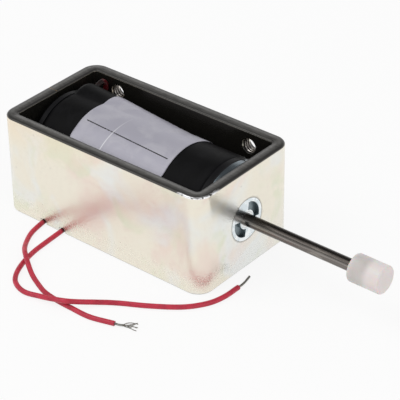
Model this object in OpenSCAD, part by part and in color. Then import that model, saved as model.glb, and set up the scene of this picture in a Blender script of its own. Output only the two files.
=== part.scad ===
// Push pull solenoid: a closed steel frame round a taped coil, with a plunger
// that drives a thin push rod through the fixed core, and two flying leads.
// X runs along the rod, from the plunger's tail to the soft tip.
// Y runs across the frame, towards the wall with the four tapped holes.
// Z is up. The frame stands on z = 0 and the moving parts are fully forward.

/* [Frame] */
// Length of the frame along the rod
frame_l = 60; // [58:0.5:66]
// Thickness of the steel strip
strip_t = 3; // [2.6:0.1:3.2]
// Inside radius of the four bends
bend_r = 0.9; // [0.5:0.1:2]
// Rounding of the strip's cut edges
edge_r = 0.4; // [0.1:0.05:0.6]
// Gap of the butt joint in the rear wall
seam_gap = 0.15; // [0.05:0.05:0.3]
// Space between the coil and each long wall
coil_side_gap = 0.75; // [0.7:0.05:3]
// How far the strip stands above and below the coil
coil_edge_gap = 0.2; // [0.1:0.1:2]

/* [Fixing holes] */
// Diameter of the four fixing holes
fixing_d = 4; // [3:0.5:5]
// Spacing of the fixing holes along the frame
fixing_pitch_x = 40; // [30:1:44]
// Spacing of the fixing holes up the frame
fixing_pitch_z = 18; // [14:0.5:19]

/* [Coil] */
// Diameter of the taped coil, the bobbin flanges and the pole plate
coil_d = 25; // [23:0.2:28]
// Thickness of the black tape
tape_t = 0.45; // [0.2:0.05:0.8]
// Thickness of each bobbin flange
flange_t = 1.2; // [0.8:0.1:1.6]
// Wall of the bobbin hub
hub_t = 0.8; // [0.6:0.1:1.2]
// Thickness of the fibre pad in front of the bobbin
pad_t = 0.5; // [0.3:0.1:1]
// Height of the swelling where the leads lie under the tape
swelling_h = 2.5; // [1.5:0.1:2.8]
// Length over which the swelling fades out
swelling_l = 32; // [24:1:38]

/* [Label] */
// Length of the foil label along the coil
label_l = 27.5; // [15:0.5:30]
// Distance from the bobbin's rear face to the label
label_at = 10.5; // [4:0.5:14]
// Thickness of the foil
label_t = 0.12; // [0.1:0.02:0.2]

/* [Magnet] */
// Diameter of the plunger
plunger_d = 12; // [11:0.2:12.4]
// How far the plunger's tail stands out of the rear wall
tail_out = 5; // [4:0.5:8]
// Diameter of the link hole across the tail
link_hole_d = 2; // [1.5:0.1:2.4]
// Length of the fixed core inside the coil
core_l = 19.4; // [14:0.2:24]
// Depth of the conical seat in the core
seat_depth = 4.5; // [3:0.1:6]
// Diameter of the seat's flat bottom
seat_floor_d = 6; // [5:0.1:7.2]
// Diameter of the core's neck through the front wall
neck_d = 10.4; // [9:0.1:11]
// Width of the rim round the staking pockets
rim_w = 0.85; // [0.6:0.05:1.2]
// Depth of the staking pockets
pocket_depth = 1.2; // [0.6:0.1:1.8]
// Thickness of the front pole plate
pole_plate_t = 1.6; // [1:0.1:2.4]
// Diameter of the rear flux ring
flux_ring_d = 18; // [16:0.2:18.4]
// Space between the rear wall and the bobbin
rear_gap = 2; // [2:0.1:2.4]
// Wall of the brass guide tube
tube_t = 0.4; // [0.3:0.05:0.6]
// Thickness of the brass anti-stick washer
washer_t = 0.3; // [0.2:0.05:0.5]

/* [Push rod] */
// Diameter of the push rod
rod_d = 2.9; // [2.5:0.1:3.2]
// Bare length of the rod in front of the frame
rod_reach = 29.3; // [25:0.1:34]
// Diameter of the soft tip
tip_d = 6.6; // [6:0.1:9]
// Length of the soft tip
tip_l = 8.1; // [6:0.1:12]
// Rounding of the tip's edges
tip_edge_r = 0.45; // [0.2:0.05:0.8]
// Depth of the rod's socket in the tip
tip_socket = 4.4; // [3:0.1:5]
// Depth of the rod's socket in the plunger
rod_socket = 9; // [6:0.5:12]
// Wall of the front guide bush
bush_t = 0.55; // [0.4:0.05:0.6]
// Length of the front guide bush
bush_l = 8; // [5:0.5:12]

/* [Leads] */
// Diameter over the lead's insulation
lead_d = 1.2; // [1:0.05:1.3]
// Diameter of the bare twisted conductor
conductor_d = 0.55; // [0.4:0.05:0.7]
// Length of each soldered joint under the tape
joint_l = 9; // [6:0.5:14]

/* [Hidden] */

$fn = 64;
cord_sides = 8;
cut = 1;            // overshoot of a cutting solid
sliver = 0.001;     // overshoot that leaves a cut's slope as it is

fit_gap = 0.05;     // between pieces pressed or slid together
slide_gap = 0.05;   // radial clearance of the plunger in its tube
rod_gap = 0.04;     // radial clearance of the rod in its bush
seat_gap = 0.1;     // left between the plunger and the washer when forward
core_bore_gap = 0.1;    // round the rod in the core, behind the bush
washer_gap = 0.1;   // round the washer on the floor of the seat
washer_bore_gap = 0.2;  // round the rod in the washer
notch_gap = 0.3;    // round a lead in its notch

// The frame is bent to fit round the coil
frame_w = coil_d + 2 * (coil_side_gap + strip_t);
frame_h = coil_d + 2 * coil_edge_gap;

// Places along X, measured from the rear face of the frame
wall_in_rear = strip_t;
wall_in_front = frame_l - strip_t;
bobbin_x0 = wall_in_rear + rear_gap;
plate_x0 = wall_in_front - pole_plate_t;
pad_x0 = plate_x0 - pad_t;
bobbin_x1 = pad_x0;
tape_x0 = bobbin_x0 + flange_t;
tape_x1 = bobbin_x1 - flange_t;
core_x0 = plate_x0 - core_l;
seat_x = core_x0 + seat_depth;
tip_x0 = frame_l + rod_reach;
tip_x1 = tip_x0 + tip_l;
tail_x = -tail_out;

// Radii
coil_r = coil_d / 2;
tube_in_r = plunger_d / 2 + slide_gap;
tube_out_r = tube_in_r + tube_t;
hub_in_r = tube_out_r + fit_gap;
hub_out_r = hub_in_r + hub_t;
tape_in_r = coil_r - tape_t;
winding_r = tape_in_r - fit_gap;
neck_r = neck_d / 2;
rod_r = rod_d / 2;
bush_in_r = rod_r + rod_gap;
bush_out_r = bush_in_r + bush_t;
lead_r = lead_d / 2;

// The whole part is centred on its length without the leads
shift_x = -(tail_x + tip_x1) / 2;
axis_z = frame_h / 2;

// Staking pockets in the face of the core's neck
bush_lip = 0.3;
pocket_in_r = bush_out_r + bush_lip;
pocket_out_r = neck_r - rim_w;
pocket_turn = 35;
pocket_span = 92;

// Swelling over the leads
swelling_turn = 52;
swelling_r = 6;
swelling_tilt = atan(swelling_h / swelling_l);

// Soldered joints under the swelling, round the coil from the far side
joint_turns = [53.5, 45.3];
joint_lift = 0.75;

// Label, from its upper edge round to its lower edge
label_turn = 40;

// Plunger nose, which copies the seat
nose_x = seat_x - washer_t - seat_gap;
nose_len = seat_depth - seat_gap;
nose_tip_r = seat_floor_d / 2 - slide_gap;
plunger_chamfer = 0.5;
plate_chamfer = 0.35;
flange_rim_w = 0.8;
flange_rim_t = 0.5;

// Routes of the leads, from the rear face of the frame and its middle plane
route_a = [
    [7.2, 8.9, 24.1], [7.2, 9.9, 24.5], [7.1, 11.3, 24.5], [7, 12.3, 23.5],
    [6.8, 12.6, 22], [6.2, 12.6, 20.2], [5.2, 12.5, 18.4], [4.3, 12.4, 16.4],
    [4, 12.3, 13.6], [4, 12.1, 10.6], [4, 11.2, 7.4], [4, 9.4, 4.6],
    [4, 6.8, 2.3], [4, 3.8, 1], [4, 0.8, 0.6], [4, -2.4, 0.6],
    [4, -5.4, 0.6], [4.3, -8, 0.6], [5.8, -10.1, 0.6], [8.4, -11.3, 0.6],
    [10.9, -11.9, 0.6], [11.9, -13.3, 0.6], [12, -16, 0.6], [12.7, -20, 0.6],
    [13.6, -22.6, 0.6], [15.4, -25.6, 0.9], [17.6, -28.2, 1.6], [19.8, -30.1, 2],
    [22.2, -31.8, 1.5], [25.2, -33.6, 0.8], [28.6, -35.2, 0.6], [32, -36.5, 0.6],
    [36, -37, 0.6], [40.4, -37.1, 0.6], [45.8, -37, 0.6], [51.6, -35.4, 0.6]];
route_b = [
    [6.2, 9.32, 22.12], [5, 9.32, 22.12], [4.2, 9.4, 21], [4, 9.5, 19.2],
    [4, 10.1, 16.6], [4, 10.5, 13.6], [4, 10.3, 10.4], [4, 9.2, 7.2],
    [4, 7.2, 4.8], [4, 4.4, 2.9], [4, 1.2, 2.1], [4, -2, 2],
    [4, -5, 2], [4.3, -7.6, 2], [6, -9.5, 1.8], [9, -9.9, 1.4],
    [12, -10.4, 0.9], [14.8, -11.1, 0.6], [16.9, -12, 0.6], [17.8, -13.4, 0.6],
    [18, -16, 0.6], [18.4, -21.6, 0.6], [18.9, -26.6, 0.6], [20.3, -32, 0.6],
    [22.4, -36.1, 0.6], [24.9, -38.3, 0.6], [28.4, -39.3, 0.7], [32.6, -38.7, 1.1],
    [36.2, -38.2, 1.7], [39.4, -37.3, 2.1], [41.3, -35.1, 1.5], [43.4, -32.5, 0.9],
    [46.8, -29.6, 0.6], [53.2, -25.9, 0.6], [59.2, -21.6, 0.6], [62.6, -17.2, 0.6],
    [63.9, -13, 0.6], [64.1, -8.2, 0.6]];
bare_a = [[51.6, -35.4, 0.6], [52.9, -35.04, 0.6], [54.1, -34.2, 0.5], [55.7, -32.9, 0.4]];
bare_b = [[64.1, -8.2, 0.6], [64.14, -7.2, 0.6], [63.9, -5.6, 0.5], [63.3, -3.2, 0.4]];

// ---- Helpers ----

// A cylinder along X from x0 to x1, on the axis of the coil
module bar(r, x0, x1) {
    translate([x0, 0, axis_z]) rotate([0, 90, 0]) cylinder(r = r, h = x1 - x0);
}

// A cone along X, radius r0 at x0 and r1 at x1
module taper(r0, r1, x0, x1) {
    translate([x0, 0, axis_z]) rotate([0, 90, 0]) cylinder(r1 = r0, r2 = r1, h = x1 - x0);
}

// A ring along X
module ring(r_out, r_in, x0, x1) {
    difference() {
        bar(r_out, x0, x1);
        bar(r_in, x0 - cut, x1 + cut);
    }
}

// Everything is drawn from the rear face of the frame, then centred
module placed() {
    translate([shift_x, 0, 0]) children();
}

function unit(v) = v / norm(v);

// Direction of a route at its point i
function heading(p, i) =
    i == 0 ? unit(p[1] - p[0]) :
    i == len(p) - 1 ? unit(p[i] - p[i - 1]) :
    unit(unit(p[i] - p[i - 1]) + unit(p[i + 1] - p[i]));

// A side direction carried along the route without twisting
function side(p, i) =
    i == 0 ? unit(cross(heading(p, 0), [0.2, 0.3, 1])) :
    let (s = side(p, i - 1), h = heading(p, i)) unit(s - (s * h) * h);

// One round of points about point i of a route
function round_at(p, i, r, n) =
    let (h = heading(p, i), s = side(p, i), t = cross(h, s))
    [for (k = [0 : n - 1]) p[i] + r * (cos(360 * k / n) * s + sin(360 * k / n) * t)];

// A tube swept along the route p
module cord(p, r) {
    n = cord_sides;
    m = len(p);
    points = [for (i = [0 : m - 1]) each round_at(p, i, r, n)];
    walls = [for (i = [0 : m - 2], k = [0 : n - 1], half = [0, 1])
        let (a = i * n + k, b = i * n + (k + 1) % n)
        half == 0 ? [a, b, b + n] : [a, b + n, a + n]];
    start = [for (k = [n - 1 : -1 : 0]) k];
    end = [for (k = [0 : n - 1]) (m - 1) * n + k];
    polyhedron(points, concat([start, end], walls));
}

// ---- Frame ----

// Section of the strip: thickness along X, height along Y, cut edges rounded
module strip_section() {
    translate([edge_r, 0]) square([strip_t - 2 * edge_r, frame_h]);
    translate([0, edge_r]) square([strip_t, frame_h - 2 * edge_r]);
    for (x = [edge_r, strip_t - edge_r], y = [edge_r, frame_h - edge_r])
        translate([x, y]) circle(r = edge_r);
}

// One quarter bend, turning about its inside radius
module bend() {
    rotate_extrude(angle = 90) translate([bend_r, 0]) strip_section();
}

// A straight wall of the strip, len long, with its inner side towards +Y
module wall(len) {
    translate([0, strip_t, 0]) rotate([90, 0, 90]) mirror([1, 0, 0])
        linear_extrude(len) strip_section();
}

module bent_strip() {
    c = strip_t + bend_r;
    for (end = [0, 1], far = [0, 1])
        translate([end ? frame_l - c : c, (far ? 1 : -1) * (frame_w / 2 - c), 0])
            rotate([0, 0, end ? (far ? 0 : -90) : (far ? 90 : 180)]) bend();
    translate([c, -frame_w / 2, 0]) wall(frame_l - 2 * c);
    translate([frame_l - c, frame_w / 2, 0]) rotate([0, 0, 180]) wall(frame_l - 2 * c);
    translate([0, frame_w / 2 - c, 0]) rotate([0, 0, -90]) wall(frame_w - 2 * c);
    translate([frame_l, -frame_w / 2 + c, 0]) rotate([0, 0, 90]) wall(frame_w - 2 * c);
}

// The place in a route where it passes the outer face of the near wall
function near_wall_x(p) =
    [for (i = [0 : len(p) - 2])
        let (y0 = p[i][1], y1 = p[i + 1][1], y = -frame_w / 2 + strip_t / 2)
        if (y0 > y && y1 <= y) p[i][0] + (p[i + 1][0] - p[i][0]) * (y - y0) / (y1 - y0)][0];

// A notch in the lower edge of the near wall that a lead leaves by
module lead_notch(p) {
    w = lead_d + 3 * notch_gap;
    top = lead_d + notch_gap;
    translate([near_wall_x(p), -frame_w / 2 - cut, 0]) {
        translate([-w / 2, 0, -cut]) cube([w, strip_t + 2 * cut, cut + top - w / 2]);
        translate([0, 0, top - w / 2]) rotate([-90, 0, 0])
            cylinder(r = w / 2, h = strip_t + 2 * cut);
    }
}

module frame() {
    color("#e9e4c8") placed() difference() {
        bent_strip();
        bar(neck_r + fit_gap, wall_in_front - cut, frame_l + cut);
        bar(tube_out_r + fit_gap, -cut, wall_in_rear + cut);
        for (sx = [-1, 1], sz = [-1, 1])
            translate([frame_l / 2 + sx * fixing_pitch_x / 2, frame_w / 2 - strip_t - cut,
                axis_z + sz * fixing_pitch_z / 2])
                rotate([-90, 0, 0]) cylinder(d = fixing_d, h = strip_t + 2 * cut);
        translate([-cut, -seam_gap / 2, -cut])
            cube([strip_t + 2 * cut, seam_gap, frame_h + 2 * cut]);
        lead_notch(route_a);
        lead_notch(route_b);
    }
}

// ---- Magnet ----

module pole_plate() {
    color("#7f8f99") placed() difference() {
        union() {
            bar(coil_r, plate_x0, wall_in_front - plate_chamfer);
            taper(coil_r, coil_r - plate_chamfer,
                wall_in_front - plate_chamfer, wall_in_front);
        }
        bar(neck_r + fit_gap, plate_x0 - cut, wall_in_front + cut);
    }
}

// One staking pocket, a sector of a ring, sunk in the face of the neck
module staking_pocket(turn) {
    translate([frame_l - pocket_depth, 0, axis_z]) rotate([0, 90, 0])
        rotate([0, 0, 90 + turn - pocket_span / 2])
            rotate_extrude(angle = pocket_span)
                translate([pocket_in_r, 0])
                    square([pocket_out_r - pocket_in_r, pocket_depth + cut]);
}

module fixed_core() {
    color("#c9d2d6") placed() difference() {
        union() {
            bar(plunger_d / 2, core_x0, plate_x0);
            bar(neck_r, plate_x0 - cut, frame_l);
        }
        taper(plunger_d / 2 + slide_gap, seat_floor_d / 2, core_x0 - sliver, seat_x);
        bar(rod_r + core_bore_gap, core_x0, frame_l + cut);
        bar(bush_out_r + fit_gap / 2, frame_l - bush_l, frame_l + cut);
        for (turn = [pocket_turn, pocket_turn + 180]) staking_pocket(turn);
    }
}

module guide_bush() {
    color("#b08d4f") placed() ring(bush_out_r, bush_in_r, frame_l - bush_l, frame_l);
}

module antistick_washer() {
    color("#c8a24a") placed()
        ring(seat_floor_d / 2 - washer_gap, rod_r + washer_bore_gap, seat_x - washer_t, seat_x);
}

module guide_tube() {
    color("#c8a24a") placed() difference() {
        union() {
            bar(tube_out_r, -flange_rim_t, pad_x0);
            bar(tube_out_r + flange_rim_w, -flange_rim_t, 0);
        }
        bar(tube_in_r, -flange_rim_t - cut, pad_x0 + cut);
    }
}

module flux_ring() {
    color("#8d949a") placed() ring(flux_ring_d / 2, tube_out_r + fit_gap, wall_in_rear, bobbin_x0);
}

// ---- Coil ----

module bobbin() {
    color("#1c1c1e") placed() difference() {
        union() {
            bar(hub_out_r, bobbin_x0, bobbin_x1);
            bar(coil_r, bobbin_x0, tape_x0);
            bar(coil_r, tape_x1, bobbin_x1);
        }
        bar(hub_in_r, bobbin_x0 - cut, bobbin_x1 + cut);
    }
}

module winding() {
    color("#b5662f") placed()
        ring(winding_r, hub_out_r + fit_gap, tape_x0 + fit_gap, tape_x1 - fit_gap);
}

// Outside of the tape: round, and swollen where the leads lie under it
module tape_form(extra) {
    bar(coil_r + extra, tape_x0, tape_x1);
    intersection() {
        bar(2 * coil_r, tape_x0, tape_x1);
        translate([0, 0, axis_z]) rotate([swelling_turn - 90, 0, 0])
            translate([tape_x0, 0, coil_r + swelling_h - swelling_r])
                rotate([0, 90 + swelling_tilt, 0]) translate([0, 0, -2 * cut])
                    cylinder(r = swelling_r + extra, h = swelling_l);
    }
}

// The soldered joints, lying along the coil under the tape
module joints(r, x0, x1) {
    for (turn = joint_turns)
        translate([0, 0, axis_z]) rotate([turn, 0, 0])
            translate([x0, coil_r + joint_lift, 0]) rotate([0, 90, 0])
                cylinder(r = r, h = x1 - x0);
}

module coil_wrap() {
    color("#141416") placed() difference() {
        tape_form(0);
        bar(tape_in_r, tape_x0 - cut, tape_x1 + cut);
        joints(lead_r + fit_gap, tape_x0 - cut, tape_x0 + joint_l + fit_gap);
    }
}

module coil_pad() {
    color("#26262a") placed() ring(coil_r, tube_out_r + fit_gap, pad_x0, plate_x0);
}

module label() {
    x0 = bobbin_x0 + label_at;
    color("#b9b9c4") placed() difference() {
        intersection() {
            tape_form(label_t);
            translate([0, 0, axis_z]) rotate([label_turn, 0, 0])
                translate([x0, -2 * coil_r, 0]) cube([label_l, 4 * coil_r, 2 * coil_r]);
        }
        tape_form(0);
    }
}

// ---- Leads ----

module lead_joints() {
    color("#a03028") placed() joints(lead_r, tape_x0, tape_x0 + joint_l);
}

module lead_wire_a() { color("#c01818") placed() cord(route_a, lead_r); }
module lead_wire_b() { color("#c01818") placed() cord(route_b, lead_r); }
module conductor_a() { color("#b8b4ac") placed() cord(bare_a, conductor_d / 2); }
module conductor_b() { color("#b8b4ac") placed() cord(bare_b, conductor_d / 2); }

// ---- Moving parts ----

module plunger() {
    r = plunger_d / 2;
    color("#9aa0a4") placed() difference() {
        union() {
            taper(r - plunger_chamfer, r, tail_x, tail_x + plunger_chamfer);
            bar(r, tail_x + plunger_chamfer, nose_x - nose_len);
            taper(r, nose_tip_r, nose_x - nose_len, nose_x);
        }
        bar(rod_r + fit_gap / 2, nose_x - rod_socket, nose_x + cut);
        translate([tail_x / 2, -r - cut, axis_z]) rotate([-90, 0, 0])
            cylinder(d = link_hole_d, h = plunger_d + 2 * cut);
    }
}

module push_rod() {
    color("#8a847e") placed() bar(rod_r, nose_x - rod_socket, tip_x0 + tip_socket);
}

module tip_cap() {
    r = tip_d / 2;
    color("#f1f0ea") placed() translate([tip_x0, 0, axis_z]) rotate([0, 90, 0])
        difference() {
            rotate_extrude() {
                square([r - tip_edge_r, tip_l]);
                translate([0, tip_edge_r]) square([r, tip_l - 2 * tip_edge_r]);
                for (z = [tip_edge_r, tip_l - tip_edge_r])
                    translate([r - tip_edge_r, z]) circle(r = tip_edge_r, $fn = 32);
            }
            translate([0, 0, -cut]) cylinder(r = rod_r + fit_gap / 2, h = tip_socket + cut);
        }
}

frame();
pole_plate();
fixed_core();
guide_bush();
antistick_washer();
guide_tube();
flux_ring();
bobbin();
winding();
coil_wrap();
coil_pad();
label();
lead_joints();
lead_wire_a();
lead_wire_b();
conductor_a();
conductor_b();
plunger();
push_rod();
tip_cap();
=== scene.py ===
import math

import bmesh
import bpy
from bpy.props import FloatProperty, FloatVectorProperty, PointerProperty
from mathutils import Matrix, Vector, noise


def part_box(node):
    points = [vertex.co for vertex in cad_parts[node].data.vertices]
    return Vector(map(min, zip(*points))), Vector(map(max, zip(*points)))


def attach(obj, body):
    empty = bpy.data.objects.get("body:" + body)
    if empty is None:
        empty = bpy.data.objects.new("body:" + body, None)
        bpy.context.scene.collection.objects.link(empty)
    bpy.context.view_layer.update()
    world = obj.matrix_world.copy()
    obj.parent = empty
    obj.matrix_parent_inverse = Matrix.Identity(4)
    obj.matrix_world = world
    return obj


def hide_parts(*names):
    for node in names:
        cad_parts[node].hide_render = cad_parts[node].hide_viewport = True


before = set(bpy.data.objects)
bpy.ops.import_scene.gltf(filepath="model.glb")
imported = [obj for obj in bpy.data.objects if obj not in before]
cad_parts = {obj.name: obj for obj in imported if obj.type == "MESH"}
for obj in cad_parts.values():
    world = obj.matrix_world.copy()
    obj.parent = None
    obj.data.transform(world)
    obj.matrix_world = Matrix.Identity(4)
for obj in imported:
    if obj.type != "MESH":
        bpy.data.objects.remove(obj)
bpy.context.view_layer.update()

bl_info = {
    "name": "Push pull solenoid",
    "version": (1, 0, 0),
    "blender": (4, 5, 0),
    "location": "3D View > Sidebar > Solenoid",
    "description": "Dresses the open-frame push pull solenoid",
    "category": "Object",
}

MM = 0.001

# Places from the solid model, in millimetres: the frame's outer box, the middle
# of its height and the shift from its rear face to the row's origin.
FRAME_LOW, FRAME_HIGH = (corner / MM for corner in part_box("frame"))
SHIFT = FRAME_LOW.x
AXIS_Z = FRAME_HIGH.z / 2
STRIP = 3.0
BEND_OUT = 3.9

# The camera turns round its target, rises over it and rolls, in radians; the
# target is in millimetres and the distance in metres
CAMERA_TURNS = (0.699804, 0.575513, -0.014117)
CAMERA_TARGET = (41.816, 5.487, 7.715)
CAMERA_DISTANCE = 0.417709

# Routes of the two leads in millimetres, from the frame's rear face and middle
ROUTE_A = [
    (7.2, 8.9, 24.1), (7.2, 9.9, 24.5), (7.1, 11.3, 24.5), (7, 12.3, 23.5),
    (6.8, 12.6, 22), (6.2, 12.6, 20.2), (5.2, 12.5, 18.4), (4.3, 12.4, 16.4),
    (4, 12.3, 13.6), (4, 12.1, 10.6), (4, 11.2, 7.4), (4, 9.4, 4.6),
    (4, 6.8, 2.3), (4, 3.8, 1), (4, 0.8, 0.6), (4, -2.4, 0.6),
    (4, -5.4, 0.6), (4.3, -8, 0.6), (5.8, -10.1, 0.6), (8.4, -11.3, 0.6),
    (10.9, -11.9, 0.6), (11.9, -13.3, 0.6), (12, -16, 0.6), (12.7, -20, 0.6),
    (13.6, -22.6, 0.6), (15.4, -25.6, 0.9), (17.6, -28.2, 1.6), (19.8, -30.1, 2),
    (22.2, -31.8, 1.5), (25.2, -33.6, 0.8), (28.6, -35.2, 0.6), (32, -36.5, 0.6),
    (36, -37, 0.6), (40.4, -37.1, 0.6), (45.8, -37, 0.6), (51.6, -35.4, 0.6)]
ROUTE_B = [
    (6.2, 9.32, 22.12), (5, 9.32, 22.12), (4.2, 9.4, 21), (4, 9.5, 19.2),
    (4, 10.1, 16.6), (4, 10.5, 13.6), (4, 10.3, 10.4), (4, 9.2, 7.2),
    (4, 7.2, 4.8), (4, 4.4, 2.9), (4, 1.2, 2.1), (4, -2, 2),
    (4, -5, 2), (4.3, -7.6, 2), (6, -9.5, 1.8), (9, -9.9, 1.4),
    (12, -10.4, 0.9), (14.8, -11.1, 0.6), (16.9, -12, 0.6), (17.8, -13.4, 0.6),
    (18, -16, 0.6), (18.4, -21.6, 0.6), (18.9, -26.6, 0.6), (20.3, -32, 0.6),
    (22.4, -36.1, 0.6), (24.9, -38.3, 0.6), (28.4, -39.3, 0.7), (32.6, -38.7, 1.1),
    (36.2, -38.2, 1.7), (39.4, -37.3, 2.1), (41.3, -35.1, 1.5), (43.4, -32.5, 0.9),
    (46.8, -29.6, 0.6), (53.2, -25.9, 0.6), (59.2, -21.6, 0.6), (62.6, -17.2, 0.6),
    (63.9, -13, 0.6), (64.1, -8.2, 0.6)]
BARE_A = [(51.6, -35.4, 0.6), (52.9, -35.04, 0.6), (53.6, -34.6, 0.6)]
BARE_B = [(64.1, -8.2, 0.6), (64.14, -7.2, 0.6), (63.9, -5.6, 0.5), (63.3, -3.2, 0.4)]

# The taped coil and its label, in millimetres and degrees round the coil
COIL_R = 12.5
TAPE_X = (6.2, 53.7)
TAPE_T = 0.45
TAPE_SLACK = 0.06
FOLD_H = 0.05
END_ROUND = 0.12
SWELL_TURN = math.radians(52)
SWELL_H, SWELL_L, SWELL_R = 2.5, 32.0, 6.0
LABEL_X = 15.1
LABEL_L = 27.9
LABEL_TURNS = (40.0, 140.0)
CORNER_R = 2.0
RULE_AT = 15.3
RULE_SLANT = 0.043
RUB_AT = 11.3

# Where the strands of the frayed end stop
FRAYED = [(55.3, -32.0, 0.45), (55.9, -32.5, 0.7), (56.3, -33.1, 0.35),
          (56.7, -34.1, 0.25), (55.6, -32.9, 0.9), (55.2, -33.9, 0.3),
          (56.5, -33.6, 0.6)]


def place(point):
    """A point in the routes' millimetres, in the row frame in metres."""
    return Vector((point[0] + SHIFT, point[1], point[2])) * MM


# ---------------------------------------------------------------- properties

class SolenoidSizes(bpy.types.PropertyGroup):
    """Sizes that dress the solenoid."""
    lens: FloatProperty(
        name="Lens", description="Focal length of the camera in millimetres",
        default=162.52, min=20, max=400)
    lead_d: FloatProperty(
        name="Lead", description="Diameter over the lead's insulation",
        default=0.0012, min=0.0008, max=0.002, unit="LENGTH")
    strand_d: FloatProperty(
        name="Strand", description="Diameter of one strand of the conductor",
        default=0.00019, min=0.0001, max=0.0003, unit="LENGTH")
    thread_pitch: FloatProperty(
        name="Thread pitch", description="Pitch of the fixing holes' thread",
        default=0.0007, min=0.0005, max=0.001, unit="LENGTH")
    thread_depth: FloatProperty(
        name="Thread depth", description="How far the thread stands into its hole",
        default=0.00036, min=0.0001, max=0.0005, unit="LENGTH")
    curl: FloatProperty(
        name="Curl", description="Height of the label's lifted corner",
        default=0.0004, min=0, max=0.001, unit="LENGTH")


class SolenoidColours(bpy.types.PropertyGroup):
    """Colours and strengths that dress the solenoid."""
    zinc: FloatVectorProperty(
        name="Zinc", description="Main colour of the passivated frame",
        default=(0.88, 0.83, 0.71), size=3, min=0, max=1, subtype="COLOR")
    cut_steel: FloatVectorProperty(
        name="Cut steel", description="Colour of the strip's cut edges",
        default=(0.085, 0.082, 0.078), size=3, min=0, max=1, subtype="COLOR")
    # Kept darker than the core's face: partly the plate's own blue-grey, partly painted shade
    # inside the frame
    blue_zinc: FloatVectorProperty(
        name="Blue zinc", description="Colour of the core and the pole plate",
        default=(0.22, 0.26, 0.29), size=3, min=0, max=1, subtype="COLOR")
    tape: FloatVectorProperty(
        name="Tape", description="Colour of the coil's tape",
        default=(0.004, 0.004, 0.0045), size=3, min=0, max=1, subtype="COLOR")
    foil: FloatVectorProperty(
        name="Foil", description="Colour of the label",
        default=(0.47, 0.46, 0.53), size=3, min=0, max=1, subtype="COLOR")
    insulation: FloatVectorProperty(
        name="Insulation", description="Colour of the leads",
        default=(0.58, 0.035, 0.07), size=3, min=0, max=1, subtype="COLOR")
    rod: FloatVectorProperty(
        name="Rod", description="Main colour of the push rod",
        default=(0.13, 0.115, 0.105), size=3, min=0, max=1, subtype="COLOR")
    nylon: FloatVectorProperty(
        name="Nylon", description="Colour of the soft tip",
        default=(0.80, 0.74, 0.72), size=3, min=0, max=1, subtype="COLOR")
    key: FloatProperty(
        name="Key light", description="Power of the large lamp", default=3.2,
        min=0, max=50, unit="POWER")
    ambient: FloatProperty(
        name="Ambient", description="Strength of the light from all round",
        default=0.62, min=0, max=2)


def sizes():
    """The scene's own sizes."""
    return bpy.context.scene.solenoid_sizes


def colours():
    """The scene's own colours and strengths."""
    return bpy.context.scene.solenoid_colours


# ------------------------------------------------------------- shader helpers

class Tree:
    """Short words for building a node tree."""

    def __init__(self, tree):
        self.tree = tree

    def add(self, kind, inputs=(), **settings):
        """A new node, with its inputs and settings."""
        made = self.tree.nodes.new(kind)
        for key, value in settings.items():
            setattr(made, key, value)
        for key, value in dict(inputs).items():
            self.put(made.inputs[key], value)
        return made

    def put(self, socket, value):
        """Links a socket to a value's socket, or sets its constant."""
        if isinstance(value, bpy.types.NodeSocket):
            self.tree.links.new(value, socket)
        elif hasattr(value, "__len__") and len(value) == 3 and socket.type == "RGBA":
            socket.default_value = (*value, 1.0)
        else:
            socket.default_value = value

    def math(self, operation, a, b=0.0, c=0.0):
        """One Math node."""
        made = self.add("ShaderNodeMath", {0: a, 1: b}, operation=operation)
        if operation in ("MULTIPLY_ADD", "COMPARE", "SMOOTH_MIN"):
            self.put(made.inputs[2], c)
        return made.outputs[0]

    def ramp(self, value, low, high, to_low=0.0, to_high=1.0):
        """A value's smooth step from low to high."""
        made = self.add("ShaderNodeMapRange", {
            "Value": value, "From Min": low, "From Max": high,
            "To Min": to_low, "To Max": to_high}, interpolation_type="SMOOTHSTEP")
        return made.outputs["Result"]

    def mix(self, share, a, b):
        """A colour between a and b."""
        made = self.add("ShaderNodeMix", {}, data_type="RGBA")
        self.put(made.inputs["Factor"], share)
        self.put(made.inputs[6], a)
        self.put(made.inputs[7], b)
        return made.outputs[2]

    def blend(self, share, a, b):
        """A value between a and b."""
        made = self.add("ShaderNodeMix", {}, data_type="FLOAT")
        self.put(made.inputs["Factor"], share)
        self.put(made.inputs[2], a)
        self.put(made.inputs[3], b)
        return made.outputs[0]

    def xyz(self, vector):
        """A vector's three parts."""
        made = self.add("ShaderNodeSeparateXYZ", {0: vector})
        return made.outputs[0], made.outputs[1], made.outputs[2]

    def vector(self, x, y, z):
        """A vector from its three parts."""
        return self.add("ShaderNodeCombineXYZ", {0: x, 1: y, 2: z}).outputs[0]

    def call(self, group, **inputs):
        """Places a shared group; its sockets are named with underscores here."""
        made = self.add("ShaderNodeGroup", {}, node_tree=group())
        for key, value in inputs.items():
            self.put(made.inputs[key.replace("_", " ")], value)
        return made.outputs


def group_of(name, ins, outs):
    """A new node group with named sockets, and its Tree."""
    made = bpy.data.node_groups.new(name, "ShaderNodeTree")
    kinds = {"f": "NodeSocketFloat", "v": "NodeSocketVector", "c": "NodeSocketColor"}
    for key, (kind, default) in ins.items():
        socket = made.interface.new_socket(key, in_out="INPUT", socket_type=kinds[kind])
        if default is not None:
            socket.default_value = default
    for key, kind in outs.items():
        made.interface.new_socket(key, in_out="OUTPUT", socket_type=kinds[kind])
    tree = Tree(made)
    return made, tree, tree.add("NodeGroupInput").outputs, tree.add("NodeGroupOutput")


def shared(build):
    """Builds a node group once, and hands back the same one after that."""
    def get():
        name = build.__name__.replace("_", " ")
        return bpy.data.node_groups.get(name) or build(name)
    get.__name__ = build.__name__
    return get


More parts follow.
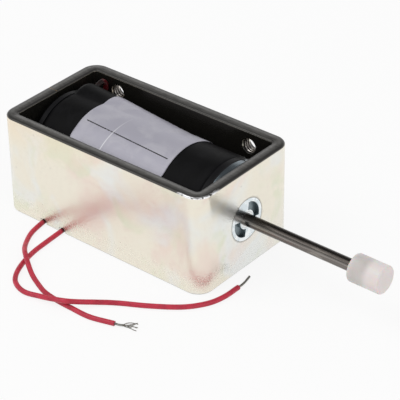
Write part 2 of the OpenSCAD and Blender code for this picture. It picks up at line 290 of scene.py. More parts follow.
@shared
def mottle(name):
    """Soft clouds, for stains and uneven plating."""
    made, t, given, out = group_of(
        name, {"Vector": ("v", None), "Scale": ("f", 0.2), "Detail": ("f", 3.0),
               "Warp": ("f", 0.6), "Low": ("f", 0.4), "High": ("f", 0.6)},
        {"Mask": "f", "Raw": "f"})
    cloud = t.add("ShaderNodeTexNoise", {
        "Vector": given["Vector"], "Scale": given["Scale"],
        "Detail": given["Detail"], "Distortion": given["Warp"]})
    t.put(out.inputs["Mask"], t.ramp(cloud.outputs["Fac"], given["Low"], given["High"]))
    t.put(out.inputs["Raw"], cloud.outputs["Fac"])
    return made


@shared
def specks(name):
    """Scattered small dots, such as pits and dust."""
    made, t, given, out = group_of(
        name, {"Vector": ("v", None), "Scale": ("f", 1.0), "Size": ("f", 0.12),
               "Share": ("f", 0.3)}, {"Mask": "f"})
    cells = t.add("ShaderNodeTexVoronoi", {
        "Vector": given["Vector"], "Scale": given["Scale"]})
    dot = t.ramp(cells.outputs["Distance"], given["Size"],
                 t.math("MULTIPLY", given["Size"], 0.5))
    pick = t.xyz(cells.outputs["Color"])[0]
    chosen = t.math("LESS_THAN", pick, given["Share"])
    t.put(out.inputs["Mask"], t.math("MULTIPLY", dot, chosen))
    return made


@shared
def drawn_lines(name):
    """Long fine lines along X, as drawing, grinding and rubbing leave."""
    made, t, given, out = group_of(
        name, {"Vector": ("v", None), "Across": ("f", 6.0), "Along": ("f", 0.15),
               "Low": ("f", 0.4), "High": ("f", 0.65)}, {"Mask": "f", "Raw": "f"})
    x, y, z = t.xyz(given["Vector"])
    stretched = t.vector(t.math("MULTIPLY", x, given["Along"]),
                         t.math("MULTIPLY", y, given["Across"]),
                         t.math("MULTIPLY", z, given["Across"]))
    lines = t.add("ShaderNodeTexNoise", {
        "Vector": stretched, "Scale": 1.0, "Detail": 4.0, "Roughness": 0.6})
    t.put(out.inputs["Mask"], t.ramp(lines.outputs["Fac"], given["Low"], given["High"]))
    t.put(out.inputs["Raw"], lines.outputs["Fac"])
    return made


@shared
def strip_depth(name):
    """How deep a place lies in the bent strip, from its outer face, in mm."""
    made, t, given, out = group_of(name, {"Vector": ("v", None)}, {"Depth": "f"})
    x, y, _ = t.xyz(given["Vector"])
    middle = (FRAME_LOW + FRAME_HIGH) / 2
    half = (FRAME_HIGH - FRAME_LOW) / 2
    over_x = t.math("SUBTRACT", t.math("ABSOLUTE", t.math("SUBTRACT", x, middle.x)),
                    half.x - BEND_OUT)
    over_y = t.math("SUBTRACT", t.math("ABSOLUTE", t.math("SUBTRACT", y, middle.y)),
                    half.y - BEND_OUT)
    outside = t.add("ShaderNodeVectorMath", {
        0: t.vector(t.math("MAXIMUM", over_x, 0), t.math("MAXIMUM", over_y, 0), 0.0)},
        operation="LENGTH").outputs["Value"]
    inside = t.math("MINIMUM", t.math("MAXIMUM", over_x, over_y), 0)
    t.put(out.inputs["Depth"], t.math("SUBTRACT", BEND_OUT, t.math("ADD", outside, inside)))
    return made


def material(name, **constants):
    """A new material with a Principled BSDF; constants go on its own sockets."""
    made = bpy.data.materials.new(name)
    made.use_nodes = True
    tree = Tree(made.node_tree)
    shader = next(n for n in made.node_tree.nodes if n.type == "BSDF_PRINCIPLED")
    for key, value in constants.items():
        tree.put(shader.inputs[key.replace("_", " ")], value)
    return made, tree, shader


def object_mm(tree):
    """Object coordinates in millimetres."""
    return tree.add("ShaderNodeVectorMath", {
        0: tree.add("ShaderNodeTexCoord").outputs["Object"], 1: (1 / MM,) * 3},
        operation="MULTIPLY").outputs[0]


def bump(tree, shader, height, strength, distance):
    """Feeds a height to a shader's Normal."""
    made = tree.add("ShaderNodeBump", {
        "Height": height, "Strength": strength, "Distance": distance})
    tree.put(shader.inputs["Normal"], made.outputs[0])


# ------------------------------------------------------------------ materials

def zinc_material():
    """Pale yellow passivated zinc, with bare dark steel on the strip's edges, painted highlights
    on those edges and at the near front corner, and painted shade on the inside faces.
    """
    c = colours()
    made, t, shader = material("passivated_zinc", Metallic=0.78)
    p = object_mm(t)
    x, y, z = t.xyz(p)
    fine = t.call(mottle, Vector=p, Scale=1.1, Detail=4.0, Low=0.5, High=0.75)
    # Rosy, cool and green clouds: each has its start, scale, limits, share and tint
    colour = c.zinc
    for start, scale, low, high, share, tint in (
            ((0, 0, 0), 0.09, 0.47, 0.66, 0.75, (0.86, 0.72, 0.64)),
            ((31, 17, 53), 0.075, 0.46, 0.68, 0.8, (0.83, 0.86, 0.86)),
            ((-23, 41, 9), 0.11, 0.52, 0.7, 0.6, (0.76, 0.79, 0.60))):
        moved = t.add("ShaderNodeVectorMath", {0: p, 1: start}, operation="ADD").outputs[0]
        cloud = t.call(mottle, Vector=moved, Scale=scale, Low=low, High=high)["Mask"]
        colour = t.mix(t.math("MULTIPLY", cloud, share), colour, tint)
    colour = t.mix(t.math("MULTIPLY", fine["Mask"], 0.18), colour, (0.72, 0.64, 0.56))
    # Warmer along the top of the long walls
    warm = t.math("MULTIPLY", t.ramp(z, 17, 25), t.ramp(x, SHIFT + 45, SHIFT - 5))
    colour = t.mix(t.math("MULTIPLY", warm, 0.5), colour, (0.92, 0.74, 0.52))
    pits = t.call(specks, Vector=p, Scale=0.45, Size=0.11, Share=0.22)["Mask"]
    colour = t.mix(t.math("MULTIPLY", pits, 0.35), colour, (0.42, 0.38, 0.36))
    # A shadow line round the staked neck of the core
    reach = t.add("ShaderNodeVectorMath", {
        0: t.vector(0.0, y, t.math("SUBTRACT", z, AXIS_Z))}, operation="LENGTH").outputs["Value"]
    round_neck = t.math("MULTIPLY", t.ramp(reach, 5.75, 5.3),
                        t.math("GREATER_THAN", x, SHIFT + 55))
    colour = t.mix(t.math("MULTIPLY", round_neck, 0.6), colour, (0.30, 0.30, 0.28))
    # Cut edges of the strip: dark steel with a lighter band across their middle, which is a
    # painted highlight
    up = t.math("ABSOLUTE", t.xyz(t.add("ShaderNodeNewGeometry").outputs["Normal"])[2])
    cut_edge = t.ramp(up, 0.22, 0.55)
    depth = t.call(strip_depth, Vector=p)["Depth"]
    # Painted highlight: the lighter steel band across the middle of the cut edges, broken by
    # grain
    light = t.math("MULTIPLY", t.ramp(depth, 0.5, 1.3), t.ramp(depth, 2.6, 2.1))
    grain = t.call(drawn_lines, Vector=p, Across=1.6, Along=0.5)["Raw"]
    light = t.math("MULTIPLY", light, t.ramp(grain, 0.25, 0.7, 0.35, 1.1))
    steel = t.mix(light, c.cut_steel, (0.20, 0.195, 0.185))
    colour = t.mix(cut_edge, colour, steel)
    # Bright rubbed metal at the near front corner: wear, and a near-white painted highlight
    corner = t.add("ShaderNodeVectorMath", {
        0: p, 1: (FRAME_HIGH.x - 1.2, FRAME_LOW.y + 1.2, FRAME_HIGH.z - 0.2)},
        operation="DISTANCE").outputs["Value"]
    rub = t.math("MULTIPLY", t.ramp(corner, 6.5, 3.0), t.ramp(up, 0.08, 0.3))
    rub = t.math("MULTIPLY", rub, t.ramp(depth, 0.75, 0.35))
    patch = t.call(mottle, Vector=p, Scale=0.9, Detail=4.0, Low=0.42, High=0.5)["Mask"]
    rub = t.math("MULTIPLY", rub, patch)
    colour = t.mix(rub, colour, (0.97, 0.97, 0.98))
    # Painted shade: the inside faces are painted dark
    inside = t.math("MULTIPLY", t.ramp(depth, 2.75, 2.95), t.math("SUBTRACT", 1.0, cut_edge))
    colour = t.mix(inside, colour, (0.05, 0.047, 0.04))
    t.put(shader.inputs["Base Color"], colour)
    rough = t.math("MULTIPLY_ADD", fine["Raw"], 0.14, 0.13)
    rough = t.blend(t.ramp(z, 12, 2), rough, t.math("ADD", rough, 0.07))
    rough = t.blend(cut_edge, rough, 0.34)
    t.put(shader.inputs["Roughness"], t.blend(rub, rough, 0.12))
    # A frosty grain on the plating, and a crown across the cut edges
    grit = t.call(mottle, Vector=p, Scale=3.2, Detail=2.0)["Raw"]
    off_middle = t.math("SUBTRACT", depth, STRIP / 2)
    crown = t.math("MULTIPLY", t.math("MULTIPLY", off_middle, off_middle), -0.16)
    height = t.blend(cut_edge, t.math("MULTIPLY", grit, 0.05), crown)
    bump(t, shader, height, 1.0, MM)
    return made


def plated_material(name, colour, dark, rough):
    """Bright plated or turned metal with light tarnish."""
    made, t, shader = material(name, Metallic=1.0)
    p = object_mm(t)
    cloud = t.call(mottle, Vector=p, Scale=0.5, Low=0.38, High=0.66)
    turned = t.call(drawn_lines, Vector=p, Across=0.6, Along=5.0)["Raw"]
    c = t.mix(t.math("MULTIPLY", cloud["Mask"], 0.45), colour, dark)
    c = t.mix(t.ramp(turned, 0.45, 0.75, 0.0, 0.3), c, dark)
    t.put(shader.inputs["Base Color"], c)
    t.put(shader.inputs["Roughness"], t.math("MULTIPLY_ADD", cloud["Raw"], 0.16, rough - 0.08))
    bump(t, shader, turned, 0.08, 0.00005)
    return made


def core_material():
    """Blue-white zinc, with painted shade in the recessed staking pockets."""
    made, t, shader = material("core_zinc", Metallic=1.0)
    p = object_mm(t)
    x, y, z = t.xyz(p)
    cloud = t.call(mottle, Vector=p, Scale=0.55, Low=0.4, High=0.62)
    face = t.mix(cloud["Mask"], (0.90, 0.93, 0.94), (0.70, 0.77, 0.80))
    # Painted shade on the floors of the recessed staking pockets
    shaded_pocket = t.ramp(x, FRAME_HIGH.x - 0.12, FRAME_HIGH.x - 0.7)
    floor = t.mix(cloud["Raw"], (0.16, 0.20, 0.22), (0.42, 0.48, 0.50))
    t.put(shader.inputs["Base Color"], t.mix(shaded_pocket, face, floor))
    t.put(shader.inputs["Roughness"], t.blend(shaded_pocket, 0.22, 0.45))
    bump(t, shader, cloud["Raw"], 0.12, 0.0002)
    return made


def tape_material():
    """Black adhesive tape, satin, with faint stretch lines and dust."""
    c = colours()
    made, t, shader = material("black_tape", Specular_IOR_Level=0.1)
    p = object_mm(t)
    x, y, z = t.xyz(p)
    cloud = t.call(mottle, Vector=p, Scale=0.35, Low=0.4, High=0.7)
    dust = t.call(specks, Vector=p, Scale=1.7, Size=0.07, Share=0.12)["Mask"]
    colour = t.mix(cloud["Mask"], c.tape, (0.007, 0.007, 0.008))
    colour = t.mix(t.math("MULTIPLY", dust, 0.35), colour, (0.06, 0.06, 0.065))
    t.put(shader.inputs["Base Color"], colour)
    t.put(shader.inputs["Roughness"], t.math("MULTIPLY_ADD", cloud["Raw"], 0.25, 0.4))
    weave = t.call(drawn_lines, Vector=p, Across=0.35, Along=3.2)["Raw"]
    bump(t, shader, weave, 0.15, 0.0001)
    return made


def moulding_material(name, colour, rough=0.42, level=0.3):
    """Moulded or pressed dark plastic with a fine even grain."""
    made, t, shader = material(name, Specular_IOR_Level=level)
    p = object_mm(t)
    grain = t.call(mottle, Vector=p, Scale=2.4, Detail=4.0, Low=0.35, High=0.7)
    t.put(shader.inputs["Base Color"], t.mix(
        t.math("MULTIPLY", grain["Mask"], 0.5), colour, tuple(v * 1.5 for v in colour)))
    t.put(shader.inputs["Roughness"], t.math("MULTIPLY_ADD", grain["Raw"], 0.2, rough - 0.1))
    bump(t, shader, grain["Raw"], 0.1, 0.00006)
    return made


def foil_material():
    """Satin silver foil, bare but for one thin printed rule."""
    c = colours()
    made, t, shader = material("label_foil", Metallic=0.25, Specular_IOR_Level=0.4)
    uv = t.add("ShaderNodeUVMap", uv_map="label").outputs[0]
    u, v, _ = t.xyz(uv)
    p = object_mm(t)
    cloud = t.call(mottle, Vector=p, Scale=0.22, Low=0.4, High=0.65)
    grain = t.call(drawn_lines, Vector=p, Across=4.0, Along=0.25)["Raw"]
    colour = t.mix(cloud["Mask"], c.foil, (0.53, 0.52, 0.58))
    colour = t.mix(t.ramp(grain, 0.5, 0.75, 0.0, 0.25), colour, (0.38, 0.37, 0.43))
    # The rule: u runs along the coil and v round it, both in millimetres
    from_rule = t.math("SUBTRACT", t.math("MULTIPLY_ADD", u, -RULE_SLANT, v), RULE_AT)
    rule = t.math("LESS_THAN", t.math("ABSOLUTE", from_rule), 0.14)
    rule = t.math("MULTIPLY", rule, t.math("GREATER_THAN", u, 1.4))
    rule = t.math("MULTIPLY", rule, t.math("LESS_THAN", u, LABEL_L - 1.3))
    worn = t.call(mottle, Vector=p, Scale=2.0, Low=0.25, High=0.45)["Mask"]
    colour = t.mix(t.math("MULTIPLY", rule, worn), colour, (0.02, 0.02, 0.022))
    # One long rub across the foil
    along = t.math("MULTIPLY_ADD", v, 0.1, u)
    rub = t.ramp(t.math("ABSOLUTE", t.math("SUBTRACT", along, RUB_AT)), 0.22, 0.05)
    rub = t.math("MULTIPLY", rub, t.ramp(v, 9.5, 17, 0.15, 1.0))
    rub = t.math("MULTIPLY", rub, t.math("GREATER_THAN", v, 9.5))
    colour = t.mix(t.math("MULTIPLY", rub, 0.8), colour, (0.80, 0.80, 0.83))
    t.put(shader.inputs["Base Color"], colour)
    t.put(shader.inputs["Roughness"], t.math("MULTIPLY_ADD", cloud["Raw"], 0.2, 0.34))
    bump(t, shader, grain, 0.08, 0.00005)
    return made


def insulation_material():
    """Red stranded-lead insulation, satin and slightly uneven."""
    c = colours()
    made, t, shader = material("red_insulation", Specular_IOR_Level=0.4,
                               Subsurface_Weight=0.12, Subsurface_Scale=0.0006)
    p = object_mm(t)
    cloud = t.call(mottle, Vector=p, Scale=0.45, Low=0.35, High=0.7)
    grime = t.call(specks, Vector=p, Scale=2.2, Size=0.1, Share=0.15)["Mask"]
    colour = t.mix(cloud["Mask"], c.insulation, tuple(v * 0.8 for v in c.insulation))
    colour = t.mix(t.math("MULTIPLY", grime, 0.4), colour, (0.2, 0.02, 0.03))
    # Painted shade darkens the leads inside the frame and where they pass under its near wall
    x, y, _ = t.xyz(p)
    inside = t.math("MULTIPLY", t.ramp(y, FRAME_LOW.y - 0.9, FRAME_LOW.y + 0.2),
                    t.ramp(x, FRAME_HIGH.x - 10, FRAME_HIGH.x - 20))
    shaded_red = t.mix(t.ramp(y, 10.6, 11.6), (0.012, 0.004, 0.004), (0.10, 0.006, 0.010))
    colour = t.mix(inside, colour, shaded_red)
    t.put(shader.inputs["Base Color"], colour)
    t.put(shader.inputs["Roughness"], t.math("MULTIPLY_ADD", cloud["Raw"], 0.2, 0.3))
    bump(t, shader, cloud["Raw"], 0.12, 0.0001)
    return made


def strand_material():
    """Tinned copper strands, dull grey with coppery places."""
    made, t, shader = material("tinned_copper", Metallic=1.0)
    p = object_mm(t)
    cloud = t.call(mottle, Vector=p, Scale=1.4, Low=0.45, High=0.7)
    t.put(shader.inputs["Base Color"], t.mix(
        cloud["Mask"], (0.34, 0.34, 0.32), (0.22, 0.17, 0.13)))
    t.put(shader.inputs["Roughness"], t.math("MULTIPLY_ADD", cloud["Raw"], 0.2, 0.25))
    return made


def rod_material():
    """Drawn steel with long dark and light streaks, and painted shade on its upper side."""
    c = colours()
    made, t, shader = material("rod_steel", Metallic=1.0)
    p = object_mm(t)
    x, y, z = t.xyz(p)
    around = t.vector(t.math("MULTIPLY", x, 0.012), y, t.math("SUBTRACT", z, AXIS_Z))
    broad = t.add("ShaderNodeTexNoise", {
        "Vector": around, "Scale": 0.9, "Detail": 2.0, "Roughness": 0.5}).outputs["Fac"]
    lines = t.call(drawn_lines, Vector=p, Across=3.0, Along=0.06, Low=0.38, High=0.66)
    patch = t.call(drawn_lines, Vector=p, Across=0.7, Along=0.16)["Raw"]
    colour = t.mix(t.ramp(broad, 0.36, 0.64), c.rod, (0.34, 0.315, 0.295))
    colour = t.mix(t.math("MULTIPLY", lines["Mask"], 0.55), colour, (0.075, 0.065, 0.058))
    colour = t.mix(t.ramp(patch, 0.52, 0.7, 0.0, 0.6), colour, (0.40, 0.37, 0.33))
    # Painted shade darkens its upper side
    height = t.math("MULTIPLY_ADD", broad, 0.8, t.math("SUBTRACT", z, AXIS_Z + 0.4))
    colour = t.mix(t.ramp(height, 0.35, 1.2, 0.0, 0.75), colour, (0.035, 0.03, 0.027))
    t.put(shader.inputs["Base Color"], colour)
    t.put(shader.inputs["Roughness"], t.math("MULTIPLY_ADD", lines["Raw"], 0.2, 0.16))
    bump(t, shader, lines["Raw"], 0.12, 0.00005)
    return made


def nylon_material():
    """Natural nylon: milky, with painted shade where the rod sits in its socket."""
    c = colours()
    made, t, shader = material(
        "natural_nylon", Roughness=0.42, Specular_IOR_Level=0.45,
        Subsurface_Weight=0.35, Subsurface_Scale=0.0015)
    p = object_mm(t)
    x, y, z = t.xyz(p)
    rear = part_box("tip_cap")[0].x / MM
    cloud = t.call(mottle, Vector=p, Scale=0.25, Low=0.35, High=0.7)
    # Painted shade: a grey band where the rod sits inside the tip, lighter at the rear edge
    rod_shade = t.math("MULTIPLY", t.ramp(x, rear + 5.4, rear + 3.4),
                     t.ramp(x, rear, rear + 1.6, 0.45, 1.0))
    colour = t.mix(t.math("MULTIPLY", rod_shade, 0.8), c.nylon, (0.50, 0.475, 0.45))
    colour = t.mix(t.math("MULTIPLY", cloud["Mask"], 0.25), colour, (0.88, 0.84, 0.83))
    t.put(shader.inputs["Base Color"], colour)
    bump(t, shader, cloud["Raw"], 0.06, 0.0001)
    return made


# ----------------------------------------------------------- geometry helpers

def smooth_path(points, steps, floor=None):
    """A smooth line through points, by Catmull-Rom, in metres."""
    given = [Vector(p) for p in points]
    ends = [2 * given[0] - given[1], *given, 2 * given[-1] - given[-2]]
    made = []
    for i in range(1, len(ends) - 2):
        a, b, c, d = ends[i - 1:i + 3]
        for k in range(steps):
            s = k / steps
            made.append(0.5 * ((2 * b) + (c - a) * s + (2 * a - 5 * b + 4 * c - d) * s * s
                               + (3 * b - a - 3 * c + d) * s ** 3))
    made.append(given[-1])
    if floor is not None:
        for p in made:
            p.z = max(p.z, floor)
    return [place(p) for p in made]


def wire(name, paths, radius, resolution):
    """A curve object with one round wire along each path."""
    curve = bpy.data.curves.new(name, "CURVE")
    curve.dimensions = "3D"
    curve.bevel_depth = radius
    curve.bevel_resolution = resolution
    curve.use_fill_caps = True
    for path in paths:
        spline = curve.splines.new("POLY")
        spline.points.add(len(path) - 1)
        for point, at in zip(spline.points, path):
            point.co = (*at, 1)
        spline.use_smooth = True
    made = bpy.data.objects.new(name, curve)
    bpy.context.scene.collection.objects.link(made)
    return made


def mesh_piece(name, bm, smooth=True):
    """A mesh object from a bmesh, which is freed."""
    bmesh.ops.remove_doubles(bm, verts=bm.verts, dist=1e-7)
    bmesh.ops.recalc_face_normals(bm, faces=bm.faces)
    for face in bm.faces:
        face.smooth = smooth
    mesh = bpy.data.meshes.new(name)
    bm.to_mesh(mesh)
    bm.free()
    made = bpy.data.objects.new(name, mesh)
    bpy.context.scene.collection.objects.link(made)
    return made


def dress(piece, body, mat, replaces=()):
    """Gives a new piece its body, slot and material."""
    piece.data.materials.append(mat)
    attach(piece, body)
    if replaces:
        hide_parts(*replaces)
    return piece


def paint(mat, *nodes):
    """Gives CAD nodes a material."""
    for name in nodes:
        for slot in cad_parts[name].material_slots:
            slot.material = mat


# --------------------------------------------------------------- coil surface


def coil_radius(x, turn):
    """Radius of the taped coil at x, turned from +Y towards +Z, in mm."""
    fade = max(0.0, 1 - (x - TAPE_X[0]) / SWELL_L)
    centre = COIL_R + SWELL_H * fade - SWELL_R
    off = turn - SWELL_TURN
    under = SWELL_R ** 2 - (centre * math.sin(off)) ** 2
    bulge = centre * math.cos(off) + math.sqrt(under) if under > 0 and math.cos(off) > 0 else 0.0
    low, high = sorted((COIL_R, bulge))
    # A soft fillet where the swelling meets the round of the coil
    soft = 0.55
    gap = high - low
    return high + (soft * 0.25 * (1 - gap / soft) ** 2 if gap < soft else 0.0)


def on_coil(x, turn, lift=0.0):
    """The point on the taped coil at x and turn, lifted by lift mm."""
    r = coil_radius(x, turn) + lift
    return place((x, r * math.cos(turn), AXIS_Z + r * math.sin(turn)))


# ------------------------------------------------------------------ operators

class SOLENOID_OT_camera(bpy.types.Operator):
    """Sets up the camera"""
    bl_idname = "solenoid.camera"
    bl_label = "Camera"

    def execute(self, context):
        turn, rise, roll = CAMERA_TURNS
        back = Vector((math.sin(turn) * math.cos(rise),
                       -math.cos(turn) * math.cos(rise), math.sin(rise)))
        right = Vector((math.cos(turn), math.sin(turn), 0))
        up = back.cross(right)
        side = right * math.cos(roll) + up * math.sin(roll)
        top = up * math.cos(roll) - right * math.sin(roll)
        data = bpy.data.cameras.new("camera")
        data.lens = sizes().lens
        data.sensor_width = 36
        data.clip_start, data.clip_end = 0.01, 20
        made = bpy.data.objects.new("camera", data)
        context.scene.collection.objects.link(made)
        at = place(CAMERA_TARGET) + back * CAMERA_DISTANCE
        made.matrix_world = Matrix.Translation(at) @ Matrix(
            (side, top, back)).transposed().to_4x4()
        context.scene.camera = made
        return {"FINISHED"}


class SOLENOID_OT_leads(bpy.types.Operator):
    """Makes the two red leads and their bare strands"""
    bl_idname = "solenoid.leads"
    bl_label = "Leads"

    def execute(self, context):
        s = sizes()
        red, tin = insulation_material(), strand_material()
        paint(red, "lead_joints")
        leads = (("a", ROUTE_A, self.frayed(s), 0.1057),
                 ("b", ROUTE_B, self.twisted(s), 0.1330))
        for tag, route, strands, length in leads:
            path = smooth_path(route, 8, floor=s.lead_d / 2 / MM)
            lead = wire("lead_" + tag, [path], s.lead_d / 2, 5)
            dress(lead, "housing", red, ["lead_wire_" + tag])
            end = wire("strands_" + tag, strands, s.strand_d / 2, 2)
            dress(end, "housing", tin, ["conductor_" + tag])
        return {"FINISHED"}

    @staticmethod
    def lay(core, phase, radius, turns):
        """One strand wound round a core path."""
        made = []
        for i, at in enumerate(core):
            ahead = (core[min(i + 1, len(core) - 1)] - core[max(i - 1, 0)]).normalized()
            side = ahead.cross(Vector((0, 0, 1))).normalized()
            top = side.cross(ahead)
            angle = phase + turns * 2 * math.pi * i / (len(core) - 1)
            made.append(at + radius * (side * math.cos(angle) + top * math.sin(angle)))
        return made

    def twisted(self, s):
        """Seven strands in a tight lay."""
        core = smooth_path(BARE_B, 14)
        paths = [self.lay(core, i * math.pi / 3, s.strand_d * 0.98, 2.2) for i in range(6)]
        return [core, *paths]

    def frayed(self, s):
        """Seven strands that start in a lay and then spread."""
        core = smooth_path(BARE_A, 8)
        paths = []
        for i, tip in enumerate(FRAYED):
            start = self.lay(core, i * math.pi / 3.5, s.strand_d * 0.9 if i else 0, 1.2)
            last, before = start[-1], start[-4]
            lead_in = (last - before).normalized()
            end = place(tip)
            span = (end - last).length
            bend = last + lead_in * span * 0.4
            bow = Vector((0, 0, 0.00025)) * math.sin(i * 2.1)
            for k in range(1, 11):
                w = k / 10
                at = last * (1 - w) ** 2 + 2 * w * (1 - w) * (bend + bow) + end * w * w
                at.z = max(at.z, s.strand_d * 0.6)
                start.append(at)
            paths.append(start)
        return paths


class SOLENOID_OT_frame(bpy.types.Operator):
    """Finishes the steel frame and cuts the threads of its fixing holes"""
    bl_idname = "solenoid.frame"
    bl_label = "Frame"

    def execute(self, context):
        zinc = zinc_material()
        paint(zinc, "frame")
        thread = plated_material("thread_zinc", (0.74, 0.70, 0.66), (0.30, 0.27, 0.26), 0.22)
        middle = (FRAME_LOW + FRAME_HIGH) / 2
        number = 0
        for sx in (-1, 1):
            for sz in (-1, 1):
                number += 1
                at = Vector((middle.x + 20 * sx, FRAME_HIGH.y - STRIP, AXIS_Z + 9 * sz)) * MM
                ridge = self.thread(at)
                piece = mesh_piece("thread_%d" % number, ridge)
                dress(piece, "housing", thread)
        return {"FINISHED"}

    @staticmethod
    def thread(at):
        """A helical ridge in a hole along +Y that starts at the point at."""
        s = sizes()
        hole_r, per_turn = 2.0 * MM, 28
        turns = int((STRIP * MM - 0.0003) / s.thread_pitch)
        bm = bmesh.new()
        start = at.y + 0.0002
        corners = [Vector((at.x + hole_r + 0.00003, start, at.z)),
                   Vector((at.x + hole_r + 0.00003, start + s.thread_pitch * 0.8, at.z)),
                   Vector((at.x + hole_r - s.thread_depth, start + s.thread_pitch * 0.48, at.z)),
                   Vector((at.x + hole_r - s.thread_depth, start + s.thread_pitch * 0.32, at.z))]
        bm.faces.new([bm.verts.new(c) for c in corners])
        bmesh.ops.spin(bm, geom=bm.faces[:] + bm.edges[:] + bm.verts[:], cent=at,
                       axis=(0, 1, 0), dvec=Vector((0, s.thread_pitch / per_turn, 0)),
                       angle=2 * math.pi * turns, steps=per_turn * turns)
        bmesh.ops.recalc_face_normals(bm, faces=bm.faces)
        return bm


class SOLENOID_OT_coil(bpy.types.Operator):
    """Wraps the coil in tape, and finishes the bobbin and the plates beside it"""
    bl_idname = "solenoid.coil"
    bl_label = "Coil"

    def execute(self, context):
        tape = tape_material()
        dress(self.wrap(), "housing", tape, ["coil_wrap"])
        paint(moulding_material("black_nylon", (0.006, 0.006, 0.007), level=0.12), "bobbin")
        paint(moulding_material("black_fibre", (0.010, 0.010, 0.011), 0.6, 0.15), "coil_pad")
        paint(plated_material("winding_copper", (0.45, 0.20, 0.09), (0.20, 0.08, 0.04), 0.3),
              "winding")
        # The pole plate and flux ring are dark: partly their own blue-grey zinc, partly painted
        # shade inside the frame
        paint(plated_material("pole_zinc", colours().blue_zinc, (0.20, 0.25, 0.28), 0.24),
              "pole_plate", "flux_ring")
        return {"FINISHED"}

    @staticmethod
    def wrap():
        """The taped coil: a round wrap that swells over the leads."""
        bm = bmesh.new()
        around, along = 180, 72
        rows = [bmesh.ops.create_circle(bm, segments=around, radius=1.0)["verts"]]
        first_edges = edges = bm.edges[:]
        for _ in range(along + 2):
            grown = bmesh.ops.extrude_edge_only(bm, edges=edges)["geom"]
            rows.append([g for g in grown if isinstance(g, bmesh.types.BMVert)])
            edges = [g for g in grown if isinstance(g, bmesh.types.BMEdge)]
        # The first and last rows are the bore's, and those between the outer face's
        inner = COIL_R - TAPE_T
        x0, x1 = TAPE_X
        for n, row in enumerate(rows):
            x = x0 + (x1 - x0) * min(max(n - 1, 0), along) / along
            for vert in row:
                turn = math.atan2(vert.co.y, vert.co.x)
                if n in (0, along + 2):
                    vert.co = place((x, inner * math.cos(turn), AXIS_Z + inner * math.sin(turn)))
                    continue
                # Slack folds run from the swelling's foot, and the ends are rounded
                fold = FOLD_H * noise.noise(Vector((x * 0.16, turn * 3.2, 4.0)))
                end_round = END_ROUND if n in (1, along + 1) else 0.0
                vert.co = on_coil(x, turn, fold - TAPE_SLACK - end_round)
        bmesh.ops.bridge_loops(bm, edges=first_edges + edges)
        return mesh_piece("tape_wrap", bm)


class SOLENOID_OT_label(bpy.types.Operator):
    """Sticks the bare foil label on the coil"""
    bl_idname = "solenoid.label"
    bl_label = "Label"

    def execute(self, context):
        piece = self.foil()
        thick = piece.modifiers.new("thickness", "SOLIDIFY")
        thick.thickness = 0.00006
        thick.offset = 1
        dress(piece, "housing", foil_material(), ["label"])
        return {"FINISHED"}

    @staticmethod
    def foil():
        """The label's sheet, laid on the coil with creases and round corners."""
        rows, columns = 150, 90
        bm = bmesh.new()
        bmesh.ops.create_grid(bm, x_segments=columns, y_segments=rows, size=0.5)
        uv = bm.loops.layers.uv.new("label")
        low, high = (math.radians(t) for t in LABEL_TURNS)
        reach = (high - low) * COIL_R
        flat = {}
        for vert in bm.verts:
            u = (vert.co.x + 0.5) * LABEL_L
            v = (vert.co.y + 0.5) * reach
            flat[vert] = (u, v)
            turn = low + v / COIL_R
            # The rear lower corner has lifted and curls
            near = max(0.0, 1 - math.hypot(u / 3.5, (v - reach) / 4.0))
            lift = 0.05 + sizes().curl / MM * near ** 1.5
            crease = noise.noise(Vector((u * 0.9, v * 0.7, 1.0)))
            lift += 0.16 * abs(crease) * max(0, 1 - v / 8)
            # Round corners, by drawing the corner's points in
            past = Vector((CORNER_R - min(u, LABEL_L - u), CORNER_R - min(v, reach - v)))
            if past.x > 0 and past.y > 0 and past.length > CORNER_R:
                pull = past * (1 - CORNER_R / past.length)
                u += pull.x if u < LABEL_L / 2 else -pull.x
                v += pull.y if v < reach / 2 else -pull.y
                turn = low + v / COIL_R
            edge = min(u, LABEL_L - u, v, reach - v)
            lift -= 0.02 * max(0.0, 1 - edge / 0.3)
            wander = 0.12 * noise.noise(Vector((u * 0.35, 7.0, 0.0))) * max(0, 1 - v / 2)
            vert.co = on_coil(LABEL_X + u, turn + wander / COIL_R, lift)
        for face in bm.faces:
            for loop in face.loops:
                loop[uv].uv = flat[loop.vert]
        return mesh_piece("label_foil", bm)


class SOLENOID_OT_armature(bpy.types.Operator):
    """Finishes the core, the plunger, the push rod and the soft tip"""
    bl_idname = "solenoid.armature"
    bl_label = "Core and plunger"

    def execute(self, context):
        paint(core_material(), "fixed_core")
        brass = plated_material("brass", (0.70, 0.50, 0.22), (0.38, 0.25, 0.10), 0.26)
        paint(brass, "guide_tube", "antistick_washer")
        paint(plated_material("tinned_bronze", (0.78, 0.80, 0.80), (0.50, 0.52, 0.52), 0.26),
              "guide_bush")
        paint(plated_material("plunger_steel", (0.48, 0.48, 0.48), (0.24, 0.24, 0.25), 0.2),
              "plunger")
        paint(rod_material(), "push_rod")
        paint(nylon_material(), "tip_cap")
        return {"FINISHED"}


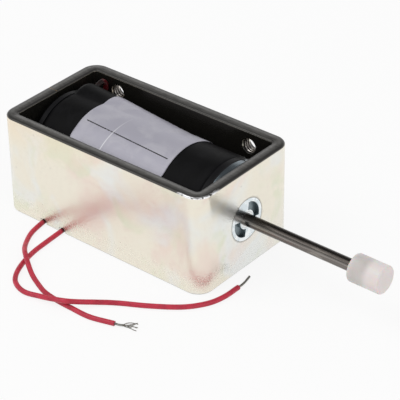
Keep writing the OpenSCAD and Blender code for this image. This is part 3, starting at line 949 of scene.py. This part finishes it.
class SOLENOID_OT_stage(bpy.types.Operator):
    """Sets the pale floor, the soft light and the white surroundings"""
    bl_idname = "solenoid.stage"
    bl_label = "Stage"

    def execute(self, context):
        c = colours()
        context.scene.view_settings.view_transform = "Standard"
        world = bpy.data.worlds.new("studio")
        context.scene.world = world
        world.use_nodes = True
        t = Tree(world.node_tree)
        seen = self.seen(t)
        background = next(n for n in world.node_tree.nodes if n.type == "BACKGROUND")
        t.put(background.inputs["Color"], (1.0, 1.0, 1.0))
        # Metal mirrors a white horizon and a darker room above it
        path = t.add("ShaderNodeLightPath").outputs
        rise = t.xyz(t.add("ShaderNodeTexCoord").outputs["Generated"])[2]
        mirrored = t.ramp(rise, 0.15, 0.6, 1.0, 0.16)
        shown = t.blend(path["Is Glossy Ray"], 1.0, mirrored)
        t.put(background.inputs["Strength"], t.blend(seen, c.ambient, shown))
        floor = bmesh.new()
        bmesh.ops.create_grid(floor, x_segments=1, y_segments=1, size=3.0)
        piece = mesh_piece("floor", floor)
        piece.data.materials.append(self.floor_material())
        self.lamp("key", (-0.35, -0.45, 0.85), 0.7, c.key)
        self.lamp("fill", (0.75, -0.15, 0.45), 0.6, c.key * 0.3)
        return {"FINISHED"}

    @staticmethod
    def seen(t):
        """1 for rays that look at the surroundings: straight, mirrored or through."""
        path = t.add("ShaderNodeLightPath").outputs
        looks = t.math("MAXIMUM", path["Is Camera Ray"], path["Is Glossy Ray"])
        return t.math("MAXIMUM", looks, path["Is Transmission Ray"])

    def floor_material(self):
        """A pale floor that is white to the camera and keeps a soft shadow."""
        made, t, shader = material("pale_floor", Base_Color=(0.9, 0.9, 0.9),
                                   Roughness=0.9, Specular_IOR_Level=0.0)
        glow = t.add("ShaderNodeEmission", {"Color": (1.0, 1.0, 1.0), "Strength": 1.0})
        mixed = t.add("ShaderNodeMixShader", {
            0: t.math("MULTIPLY", self.seen(t), 0.86), 1: shader.outputs[0],
            2: glow.outputs[0]})
        out = next(n for n in t.tree.nodes if n.type == "OUTPUT_MATERIAL")
        t.put(out.inputs[0], mixed.outputs[0])
        return made

    @staticmethod
    def lamp(name, at, size, power):
        """A soft square lamp that looks at the origin."""
        data = bpy.data.lights.new(name, "AREA")
        data.energy = power
        data.size = size
        made = bpy.data.objects.new(name, data)
        made.location = at
        made.rotation_euler = Vector(at).to_track_quat("Z", "Y").to_euler()
        bpy.context.scene.collection.objects.link(made)


OPERATORS = (SOLENOID_OT_camera, SOLENOID_OT_leads, SOLENOID_OT_frame,
             SOLENOID_OT_coil, SOLENOID_OT_label, SOLENOID_OT_armature,
             SOLENOID_OT_stage)


class SOLENOID_PT_panel(bpy.types.Panel):
    """Lists the solenoid's sizes, colours and steps"""
    bl_idname = "SOLENOID_PT_panel"
    bl_label = "Solenoid"
    bl_space_type = "VIEW_3D"
    bl_region_type = "UI"
    bl_category = "Solenoid"

    def draw(self, context):
        for group in (context.scene.solenoid_sizes, context.scene.solenoid_colours):
            for key in group.bl_rna.properties.keys():
                if key not in ("rna_type", "name"):
                    self.layout.prop(group, key)
        for step in OPERATORS:
            self.layout.operator(step.bl_idname)


CLASSES = (SolenoidSizes, SolenoidColours, *OPERATORS, SOLENOID_PT_panel)


def register():
    """Adds the add-on's classes and its two groups of properties."""
    for each in CLASSES:
        bpy.utils.register_class(each)
    bpy.types.Scene.solenoid_sizes = PointerProperty(type=SolenoidSizes)
    bpy.types.Scene.solenoid_colours = PointerProperty(type=SolenoidColours)


def unregister():
    """Takes them away again."""
    del bpy.types.Scene.solenoid_colours
    del bpy.types.Scene.solenoid_sizes
    for each in reversed(CLASSES):
        bpy.utils.unregister_class(each)


def main():
    """Makes every piece in order."""
    register()
    for step in OPERATORS:
        getattr(bpy.ops.solenoid, step.bl_idname.split(".")[1])()


if __name__ == "__main__":
    main()
